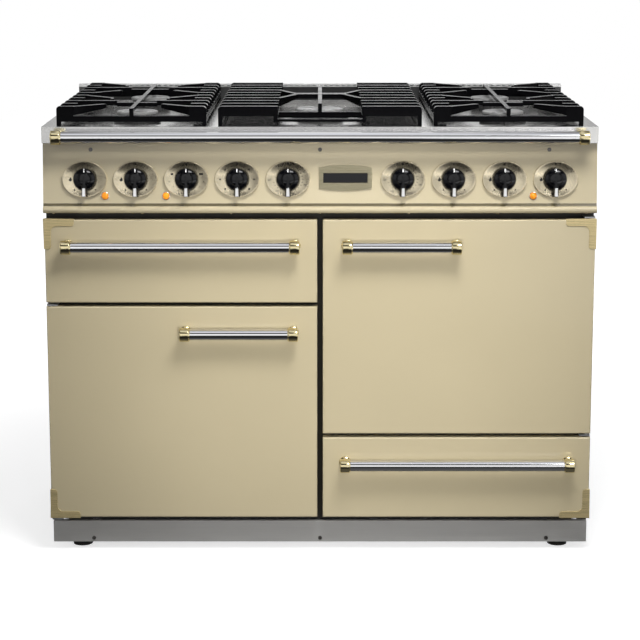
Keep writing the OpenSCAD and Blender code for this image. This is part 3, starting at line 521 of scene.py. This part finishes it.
def slab(wide, tall, angle, fraction):
    return mark(box_outline(wide, tall), angle, fraction)


def tick(angle, fraction=0.72):
    """A short line that points at the dial's middle."""
    line = prism(box_outline(0.8, 3.2), 0, MARK_THICK)
    return line, on_dish(angle, fraction) @ Matrix.Rotation(-math.radians(angle), 4, "Z")


def numeral(text, angle):
    """A printed number, upright on the dish."""
    curve = bpy.data.curves.new("numeral", "FONT")
    curve.body = text
    curve.size = 4.6
    curve.align_x = "CENTER"
    curve.align_y = "CENTER"
    curve.extrude = MARK_THICK / 2
    curve.resolution_u = 3
    holder = bpy.data.objects.new("numeral", curve)
    data = bpy.data.meshes.new_from_object(holder)
    mesh = bmesh.new()
    mesh.from_mesh(data)
    bpy.data.objects.remove(holder)
    bpy.data.curves.remove(curve)
    bpy.data.meshes.remove(data)
    return mesh, on_dish(angle, 0.82) @ Matrix.Translation((0, 0, MARK_THICK / 2))


def pointer():
    """The off mark above every dial."""
    return mark([(-2.5, 1.7), (0, -2.3), (2.5, 1.7)], 0, 0.84)


def gas_marks():
    return [pointer(), flame(3.2, -90, 0.64), flame(1.7, -142, 0.74),
            mark(bow(0, 0, 1.4, 0, 345, 23), 140, 0.76)]


def grill_marks():
    return [pointer(), slab(8.4, 3.6, 66, 0.72), slab(4.6, 3.6, -66, 0.7),
            slab(2.2, 1.6, 100, 0.78), slab(2.2, 1.6, -100, 0.78),
            tick(125), tick(-125), tick(150), tick(-150)]


def function_marks():
    return [pointer()] + [slab(3.2, 2.6 + i % 2, i * 45, 0.76) for i in range(1, 8)]


def oven_marks():
    return ([pointer()] + [tick(45 + i * 15, 0.66) for i in range(15)]
            + [numeral(str(50 * (i + 1)), 60 + i * 52) for i in range(5)])


# Dials: a domed head with a round ridge under the lever, a flat lever and a line towards the mark

HEAD = [(0, 3.7), (20.6, 3.7), (21.6, 4.4), (22, 5.6), (22, 8.4), (21.7, 9.6), (21.0, 10.7),
        (19.6, 12.0), (17.6, 13.2), (15.6, 14.1), (13.9, 14.7), (13.3, 14.2), (12.9, 14.5),
        (12.7, 15.8), (12.0, 16.6), (10.4, 17.1), (6, 17.6), (0, 17.8)]
RIDGE = [(5.6, 10.5)] + bow(0, 12.4, 5.6, 0, 180, 14) + [(-5.6, 10.5)]
RIDGE_ENDS = (-6, 33.2)
LEVER = ([(-3.1, -16.5)] + bow(-2.0, -32.6, 1.9, 180, 270, 5) + bow(2.0, -32.6, 1.9, 270, 360, 5)
         + [(3.1, -16.5)])
LEVER_HEIGHTS = (16.5, 21.5)
LINE_SPINE = [(14.2, 14.6), (15.6, 14.1), (17.6, 13.2), (19.6, 12.0), (21.0, 10.7)]
# Half width of the printed line, widened partly as a painted highlight
LINE_HALF = 1.2


def index_line():
    """Thin printed line over the dome, along its profile, widened to stand partly for the dome's
    highlight as a painted highlight.
    """
    mesh = bmesh.new()
    section = [(-LINE_HALF, -1), (-LINE_HALF, 0.25), (LINE_HALF, 0.25), (LINE_HALF, -1)]
    rows = [[mesh.verts.new((x, y, height + out)) for x, out in section]
            for y, height in LINE_SPINE]
    for low, high in zip(rows, rows[1:]):
        for i in range(4):
            mesh.faces.new((low[i], low[(i + 1) % 4], high[(i + 1) % 4], high[i]))
    mesh.faces.new(rows[0])
    mesh.faces.new(rows[-1])
    return mesh


MARKS = [gas_marks, gas_marks, grill_marks, function_marks, oven_marks, oven_marks, gas_marks,
         gas_marks, gas_marks]

for index, x in enumerate(KNOB_X):
    place = panel(x, KNOB_Z)
    number = str(index + 1)
    body = "dial_" + number
    plate = add_piece("bezel_" + number, bezel(), "cooker", "champagne_metal", place=place)
    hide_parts("knob_bezels")
    add_piece("marks_" + number, merge(*MARKS[index]()), "cooker", "knob_black", "mark_black",
              place=place)
    head = merge(lathe(HEAD, 64), (prism(RIDGE, *RIDGE_ENDS), at(0, 0, 0, turn_x=90)))
    grip = add_piece("knob_head_" + number, head, body, "knob_black", edge=0.9, place=place)
    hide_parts("knob_" + number)
    add_piece("knob_lever_" + number, prism(LEVER, *LEVER_HEIGHTS), body, "chrome", edge=1.4,
              place=place)
    add_piece("knob_index_" + number, index_line(), body, "knob_black", "print_and_highlight_white", place=place)

# Badge and lamps

BADGE = panel(50, 770)
BADGE_FACE = 2.9
PIN = [(0, 0), (1.5, 0), (1.3, 0.5), (0.7, 0.8), (0, 0.9)]
add_piece("badge_inlay", prism(box_outline(87.2, 19.2), 1.2, 2.3), "cooker", "knob_black",
          edge=0.3, place=BADGE)
add_piece("badge_pins", merge(*[(lathe(PIN, 20), at(0, y, BADGE_FACE)) for y in (17.5, -17.5)]),
          "cooker", "badge_metal", place=BADGE)

LAMP_X = (-423, -303, 420)
LAMP_Z = 735
LENS = [(0, 0), (6.4, 0), (6.4, 2.2), (6.0, 3.4), (4.9, 4.6), (3.2, 5.4), (0, 5.8)]
COLLAR = [(6.4, 0), (8.0, 0), (8.0, 1.6), (7.6, 2.2), (7.0, 2.4), (6.4, 2.0), (6.4, 0)]
lens = add_piece("lamp_lenses", merge(*[(lathe(LENS, 40), panel(x, LAMP_Z)) for x in LAMP_X]),
                 "cooker", "neon_amber")
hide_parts("neon_lamps")
add_piece("lamp_collars", merge(*[(lathe(COLLAR, 40), panel(x, LAMP_Z)) for x in LAMP_X]),
          "cooker", "chrome")

# The control panel's lip: a dark sheet of painted shade in the cove over a roll, with rivets under
# it

Z_TO_X = Matrix(((0, 0, 1, 0), (1, 0, 0, 0), (0, 1, 0, 0), (0, 0, 0, 1)))
COVE = [(-280.6, 720.4), (-281.5, 720.0), (-281.9, 718.4), (-282.6, 716.6), (-283.8, 715.4),
        (-284.6, 714.6), (-283.0, 713.0), (-281.0, 713.0)]
ROLL = bow(-283.0, 708.1, 7.0, 80, 285, 22) + [(-281.0, 701.4), (-281.0, 715.0)]
RIVET = [(0, 0), (2.6, 0), (2.3, 0.9), (1.4, 1.6), (0, 1.9)]


def along_x(outline, half):
    """Solid along X over an outline of (y, z) points, half its length to each side."""
    return prism(outline, -half, half), Z_TO_X


# Painted shade: a thin dark sheet along the cove, where the crease lies in shadow
add_piece("lip_shade_sheet", merge(along_x(COVE, 544.9)), "cooker", "cream_enamel", "cove_painted_shade",
          smooth_angle=60)
add_piece("lip_roll", merge(along_x(ROLL, 545.2)), "cooker", "cream_enamel", edge=0.5,
          smooth_angle=50)
rivets = [(lathe(RIVET, 20), at(x, -285.0, 701.7, turn_x=155)) for x in range(-525, 526, 175)]
add_piece("lip_rivets", merge(*rivets), "cooker", "zinc_steel", "champagne_metal")

# Handle brackets and corner trims

FACE_Y = -284
BAR_Y = -310
POST_OFFSET = 10.5
CAP = [(0, 0), (11.2, 0), (12.8, 0.4), (13.7, 1.3), (14, 2.6), (14, 17.6), (13.8, 18.6),
       (12.4, 19.6), (11.7, 21), (0, 21)]
POST = [(0, 0), (12, 0), (12, 1.9), (11.4, 2.8), (10.2, 3.3), (9.3, 4.2), (9.0, 5.6), (9.0, 19),
        (0, 19)]


def brackets(x0, x1, z):
    """The two end brackets of a bar, whose caps start at x0 and x1 and run inwards."""
    parts = []
    for x_end, side in ((x0, 1), (x1, -1)):
        parts.append((lathe(CAP), at(x_end, BAR_Y, z, turn_y=90 * side)))
        parts.append((lathe(POST, 40), at(x_end + side * POST_OFFSET, FACE_Y, z, turn_x=90)))
    return merge(*parts)


def corner_trim(x, z, side, up):
    """L plate on a door's corner, with rounded arm ends, lapping round the door's edges."""
    wrap, depth, arm, inner, tip, fillet = 1.5, 5, 59, 13, 6, 11
    face = ([(-wrap, -wrap), (arm - 1, -wrap), (arm, 1 - wrap), (arm, inner - tip)]
            + bow(arm - tip, inner - tip, tip, 0, 90, 6)[1:]
            + bow(inner + fillet, inner + fillet, fillet, 270, 180, 8)
            + bow(inner - tip, arm - tip, tip, 0, 90, 6) + [(1 - wrap, arm), (-wrap, arm - 1)])
    flip = (Matrix.Translation((x, FACE_Y, z)) @ Matrix.Diagonal((side, 1, up, 1))
            @ Matrix.Rotation(math.radians(90), 4, "X"))
    strips = [prism([(-wrap, -wrap), (0, -wrap), (0, arm), (-wrap, arm)], -depth, 0),
              prism([(0, -wrap), (arm, -wrap), (arm, 0), (0, 0)], -depth, 0)]
    return merge((prism(face, 0, wrap), flip), *[(strip, flip) for strip in strips])


# Per door: its bar's ends and height, its trim's corner and which way the arms run, and its body
SETS = {
    "grill_door": ((-510, -40, 636.5), (-544.5, 688, 1, -1), "grill_flap"),
    "left_oven_door": ((-278.5, -43.5, 461.5), (-544.5, 77, 1, 1), "left_door"),
    "right_oven_door": ((43.5, 278.5, 636.5), (544.5, 688, -1, -1), "right_door"),
    "drawer": ((40, 510, 192.5), (544.5, 77, -1, 1), "drawer"),
}
for name, (bar, corner, body) in SETS.items():
    caps = add_piece(name + "_brackets", brackets(*bar), body, "brass", smooth_angle=50)
    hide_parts(name + "_brasses")
    add_piece(name + "_trim", corner_trim(*corner), body, "brass", "satin_brass", edge=0.7)
rail = add_piece("rail_brackets", brackets(-524, 524, 853.5), "cooker", "brass", smooth_angle=50)
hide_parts("hand_rail_brackets")

# World: white for the camera, a faint even light, and bands of tone for reflections

WHITE = (1, 1, 1, 1)
PALE_BLUE = (0.6, 0.61, 0.65)
# Tones by height, from 0 straight down to 1 straight up
FRONT_TONES = [(0.0, 0.1), (0.40, 0.1), (0.44, 0.5), (0.50, 0.55), (0.535, 1.0), (0.745, 1.05),
               (0.765, 0.03), (0.885, 0.03), (0.91, 0.85), (0.98, (0.78, 0.80, 0.85)),
               (1.0, PALE_BLUE)]
BACK_TONES = [(0.0, 0.3), (0.47, 0.5), (0.50, 1.0), (0.60, 1.0), (0.63, 0.25), (0.68, 0.55),
              (0.85, 0.6), (0.95, 0.5), (1.0, PALE_BLUE)]
WINDOW_STRENGTH = 14.0


def toned(tree, fac, stops):
    """A colour ramp over a factor."""
    ramp = tree.add("ShaderNodeValToRGB")
    elements = ramp.color_ramp.elements
    elements.remove(elements[-1])
    for index, (place, tone) in enumerate(stops):
        element = elements[0] if index == 0 else elements.new(place)
        element.position = place
        element.color = (*tone, 1) if isinstance(tone, tuple) else (tone, tone, tone, 1)
    tree.link(fac, ramp.inputs[0])
    return ramp.outputs[0]


def between(tree, kind, sockets, fac, one, two):
    """A colour or number between two others."""
    mix = tree.add("ShaderNodeMix", data_type=kind)
    for socket, value in zip(sockets, (fac, one, two)):
        tree.link(value, mix.inputs[socket])
    return mix


world = bpy.data.worlds.new("studio")
bpy.context.scene.world = world
world.use_nodes = True
world.node_tree.nodes.clear()
sky = Tree(world.node_tree)
aim_x, aim_y, aim_z = sky.axes(sky.add("ShaderNodeTexCoord").outputs["Generated"])
sideways = sky.maths("ABSOLUTE", aim_x)
height = sky.span(aim_z, 0.0, 1.0, -1.0, 1.0)
behind = sky.span(aim_y, 0.0, 1.0, -0.08, 0.08)
tones = between(sky, "RGBA", (0, 6, 7), behind,
                toned(sky, height, FRONT_TONES), toned(sky, height, BACK_TONES)).outputs[2]
# In front the room darkens to the left and right, and lifts again far to the sides
left_fade = sky.span(aim_x, 0.06, 1.0, -0.47, -0.32)
right_fade = sky.span(aim_x, 1.0, 0.2, 0.35, 0.55)
side_lift = sky.span(sideways, 0.0, 0.65, 0.50, 0.62)
wing = sky.plus(sky.times(left_fade, right_fade), side_lift)
# Behind it is brightest in the middle
behind_wing = sky.plus(sky.span(sideways, 1.5, 0.45, 0.04, 0.16),
                       sky.span(sideways, 0.0, 0.6, 0.3, 0.5))
strength = between(sky, "FLOAT", (0, 2, 3), behind, wing, behind_wing).outputs[0]
mirror = sky.add("ShaderNodeBackground")
sky.link(tones, mirror.inputs["Color"])
sky.link(strength, mirror.inputs["Strength"])
# A window high on the right, for the highlights on the dials' domes
across = sky.times(sky.span(aim_x, 0.0, 1.0, 0.12, 0.18), sky.span(aim_x, 1.0, 0.0, 0.46, 0.52))
upright = sky.times(sky.span(aim_z, 0.0, WINDOW_STRENGTH, 0.66, 0.70),
                    sky.span(aim_z, 1.0, 0.0, 0.84, 0.88))
in_front = sky.span(aim_y, 1.0, 0.0, -0.3, -0.2)
window = sky.add("ShaderNodeBackground")
sky.link(sky.times(sky.times(across, upright), in_front), window.inputs["Strength"])
reflected = sky.add("ShaderNodeAddShader")
sky.link(mirror.outputs[0], reflected.inputs[0])
sky.link(window.outputs[0], reflected.inputs[1])
ambient = sky.add("ShaderNodeBackground", Color=(0.97, 0.98, 1.0, 1), Strength=0.17)
white = sky.add("ShaderNodeBackground", Color=WHITE, Strength=1.0)
path = sky.add("ShaderNodeLightPath").outputs
shiny = sky.larger(path["Is Glossy Ray"], path["Is Transmission Ray"])
lit = sky.shaders(shiny, ambient.outputs[0], reflected.outputs[0])
sky.link(sky.shaders(path["Is Camera Ray"], lit, white.outputs[0]),
         sky.add("ShaderNodeOutputWorld").inputs[0])

# Floor: white paper that keeps the shadow, and patches of glow for reflections

FLOOR_SIDE = 16
floor_mesh = bpy.data.meshes.new("floor")
floor_mesh.from_pydata([(x, y, 0) for x, y in box_outline(FLOOR_SIDE, FLOOR_SIDE)], [],
                       [(0, 1, 2, 3)])
floor = bpy.data.objects.new("floor", floor_mesh)
bpy.context.scene.collection.objects.link(floor)
floor.location.z = -0.0002
paper = bpy.data.materials.new("floor_paper")
paper.use_nodes = True
paper.node_tree.nodes.clear()
ground = Tree(paper.node_tree)
spot = ground.add("ShaderNodeTexCoord").outputs["Object"]
length = ground.add("ShaderNodeVectorMath", operation="LENGTH")
ground.link(spot, length.inputs[0])
far = length.outputs["Value"]
floor_x, floor_y, _ = ground.axes(spot)
side = ground.maths("ABSOLUTE", floor_x)


def eased(fac, low, high, start, end):
    """A number that eases from low to high as the factor goes from start to end."""
    return ground.span(fac, low, high, start, end, smooth=True)


path = ground.add("ShaderNodeLightPath").outputs
matt = ground.add("ShaderNodeBsdfDiffuse")
ground.link(ground.colours(path["Is Camera Ray"], (0.3, 0.3, 0.3), (0.6, 0.6, 0.6)),
            matt.inputs["Color"])
# For the camera the paper glows towards white, but not under the object, which leaves painted shade
# there over its real shadow
beside = eased(side, 0.0, 1.0, 0.54, 0.56)
before = eased(floor_y, 1.0, 0.0, -0.20, -0.15)
beyond = eased(floor_y, 0.0, 1.0, 0.28, 0.36)
uncovered = ground.larger(ground.larger(beside, before), beyond)
glow = ground.add("ShaderNodeEmission", Color=WHITE)
ground.link(ground.times(eased(far, 0.7, 1.0, 0.7, 2.0), uncovered), glow.inputs["Strength"])
dark = ground.add("ShaderNodeEmission", Strength=0.0)
both = ground.add("ShaderNodeAddShader")
ground.link(matt.outputs[0], both.inputs[0])
ground.link(ground.shaders(path["Is Camera Ray"], dark.outputs[0], glow.outputs[0]), both.inputs[1])
# For reflections it is dark near the object, and glows far off and to the sides
near_glow = eased(floor_y, 0.02, 0.09, -0.75, -0.50)
side_glow = eased(side, 0.0, 0.3, 0.95, 1.7)
right_glow = ground.times(eased(far, 0.0, 1.0, 2.2, 3.0), eased(floor_x, 0.0, 0.5, 0.15, 0.9))
not_far_left = eased(floor_x, 0.0, 1.0, -2.9, -1.9)
far_glow = ground.times(ground.times(eased(far, 0.0, 1.0, 4.8, 6.4), not_far_left),
                        eased(side, 0.25, 2.0, 0.25, 1.1))
mirrored = ground.add("ShaderNodeEmission")
ground.link(ground.plus(ground.plus(ground.plus(near_glow, far_glow), side_glow), right_glow),
            mirrored.inputs["Strength"])
ground.link(ground.shaders(path["Is Glossy Ray"], both.outputs[0], mirrored.outputs[0]),
            ground.add("ShaderNodeOutputMaterial").inputs[0])
floor_mesh.materials.append(paper)

# Lamps, none of them seen in reflections


def place_lamp(data, place, target):
    """Puts a lamp at a place, turned to a target."""
    lamp = bpy.data.objects.new(data.name, data)
    lamp.location = place
    lamp.rotation_euler = (Vector(target) - Vector(place)).to_track_quat("-Z", "Y").to_euler()
    lamp.visible_glossy = False
    bpy.context.scene.collection.objects.link(lamp)
    return lamp


BODY_MIDDLE = (0, 0, 0.5)
for name, place, target, size, power in (
        ("key", (0.32, -1.25, 2.15), (0.0, -0.28, 0.45), (0.75, 0.55), 30),
        ("left_fill", (-3.0, -1.2, 1.6), BODY_MIDDLE, (1.4, 1.8), 16),
        ("right_fill", (3.0, -1.2, 1.6), BODY_MIDDLE, (1.4, 1.8), 13),
        ("back_fill", (0.0, 3.2, 2.2), BODY_MIDDLE, (2.0, 1.2), 24)):
    data = bpy.data.lights.new(name, "AREA")
    data.shape = "RECTANGLE"
    data.size, data.size_y = size
    data.energy = power
    place_lamp(data, place, target)
pool = bpy.data.lights.new("pool", "SPOT")
pool.energy = 94
pool.spot_size = math.radians(44)
pool.spot_blend = 1.0
pool.shadow_soft_size = 0.2
place_lamp(pool, (0.08, -2.2, 0.66), (0.06, -0.28, 0.42)).visible_camera = False
